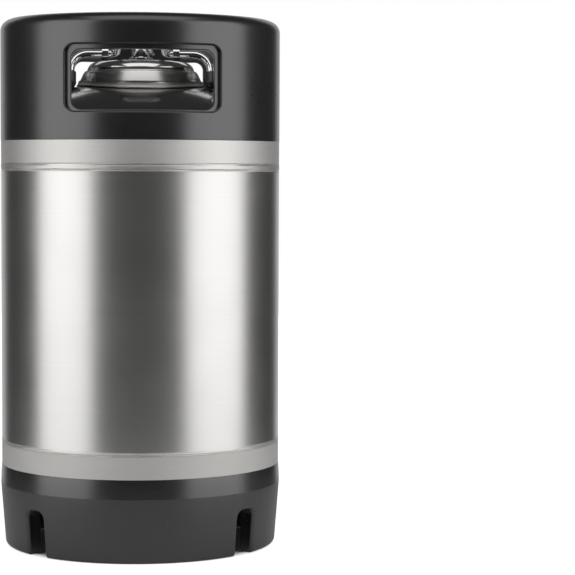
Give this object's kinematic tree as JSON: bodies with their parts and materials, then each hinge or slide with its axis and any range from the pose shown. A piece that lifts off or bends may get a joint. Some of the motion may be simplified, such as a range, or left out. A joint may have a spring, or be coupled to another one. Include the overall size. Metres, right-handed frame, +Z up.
{
  "type": "soda keg",
  "caption": "Small steel soda keg with a moulded top ring with hand-holds, a notched boot, ball-lock posts, and an oval lid clamped by a wire bail.",
  "frame": {"origin": "centre of the boot's footprint on the floor", "axes": "+Z up along the keg's axis, -Y towards the front hand-hold, -X towards the gas post, +X towards the liquid post"},
  "size_m": [0.2234, 0.2234, 0.4165],
  "materials": {
    "satin_steel": "satin, blasted",
    "brushed_steel": "brushed around the axis",
    "weld_steel": "ground weld",
    "polished_steel": "polished",
    "ring_rubber": "smooth moulded, semi-gloss",
    "seal_rubber": "matte",
    "chrome": "bright",
    "spring_steel": "drawn wire"
  },
  "bodies": {
    "keg": {"top_head": "satin_steel", "body_shell": "brushed_steel", "bottom_head": "satin_steel", "upper_weld": "weld_steel", "lower_weld": "weld_steel", "neck_ring": "polished_steel", "top_chime": "ring_rubber", "bottom_boot": "ring_rubber", "gas_fitting": "polished_steel", "liquid_fitting": "polished_steel", "gas_post": "polished_steel", "liquid_post": "polished_steel", "gas_poppet_spring": "spring_steel", "liquid_poppet_spring": "spring_steel", "gas_post_oring": "seal_rubber", "liquid_post_oring": "seal_rubber", "gas_dip_tube": "polished_steel", "liquid_dip_tube": "polished_steel", "gas_tube_oring": "seal_rubber", "liquid_tube_oring": "seal_rubber"},
    "lid": {"lid_plate": "polished_steel", "lid_seal": "seal_rubber", "bail_bracket_left": "chrome", "bail_bracket_right": "chrome", "prv_body": "chrome", "prv_nut": "polished_steel", "prv_gasket": "seal_rubber", "prv_spring": "spring_steel"},
    "bail": {"lid_bail": "chrome", "bail_foot_left": "seal_rubber", "bail_foot_right": "seal_rubber"},
    "relief_plunger": {"prv_stem": "chrome", "prv_seat": "seal_rubber"},
    "pull_ring": {"prv_pull_ring": "chrome"},
    "gas_valve": {"gas_poppet": "polished_steel"},
    "liquid_valve": {"liquid_poppet": "polished_steel"}
  },
  "joints": [
    {"name": "lid_drop", "type": "slide", "parent": "keg", "child": "lid", "axis": [0, 0, -1], "range_m": [0, 0.008]},
    {"name": "bail_swing", "type": "hinge", "parent": "lid", "child": "bail", "pos_m": [0, 0, 0.391], "axis": [-1, 0, 0], "range_deg": [0, 95]},
    {"name": "prv_lift", "type": "slide", "parent": "lid", "child": "relief_plunger", "axis": [0, 0, 1], "range_m": [0, 0.003], "stiffness_N_per_m": 600, "springref_m": -0.003, "deforming": ["prv_spring"]},
    {"name": "pull_ring_swing", "type": "hinge", "parent": "relief_plunger", "child": "pull_ring", "pos_m": [0, 0, 0.401], "axis": [0, -1, 0], "range_deg": [0, 270]},
    {"name": "gas_poppet_press", "type": "slide", "parent": "keg", "child": "gas_valve", "axis": [0, 0, -1], "range_m": [0, 0.003], "stiffness_N_per_m": 600, "springref_m": -0.003, "deforming": ["gas_poppet_spring"]},
    {"name": "liquid_poppet_press", "type": "slide", "parent": "keg", "child": "liquid_valve", "axis": [0, 0, -1], "range_m": [0, 0.003], "stiffness_N_per_m": 600, "springref_m": -0.003, "deforming": ["liquid_poppet_spring"]}
  ],
  "couplings": [
    {"joint": "bail_swing", "follows": "lid_drop", "rad_per_m": 205}
  ]
}
